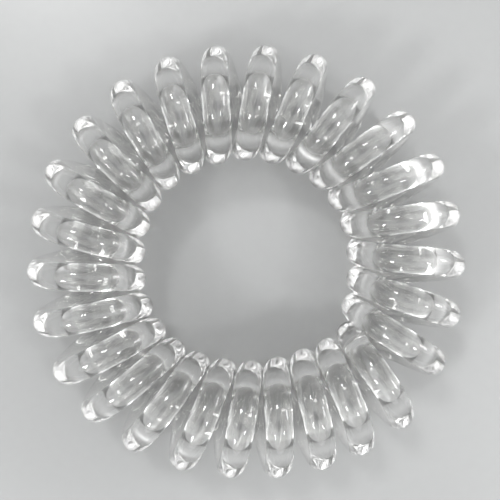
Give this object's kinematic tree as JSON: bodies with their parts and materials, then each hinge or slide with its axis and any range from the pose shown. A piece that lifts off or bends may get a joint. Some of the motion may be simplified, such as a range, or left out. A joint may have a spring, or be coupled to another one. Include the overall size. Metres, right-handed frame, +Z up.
{
  "type": "spiral hair tie",
  "caption": "Clear spiral hair tie: one glossy soft plastic cord, wound as a close coil and closed into a ring that holds a ponytail.",
  "frame": {"origin": "middle of the ring's outline, on the surface that it lies on", "axes": "+Z up, along the axis of the ring and of its hole; X and Y in the plane of the ring, with the welded seam at the hole side, 36 degrees clockwise from +X seen from above"},
  "size_m": [0.05, 0.0494, 0.0135],
  "materials": {
    "clear_tpu": "clear, colourless and glossy soft thermoplastic polyurethane, extruded"
  },
  "bodies": {
    "root": {"coil": "clear_tpu"}
  },
  "joints": []
}
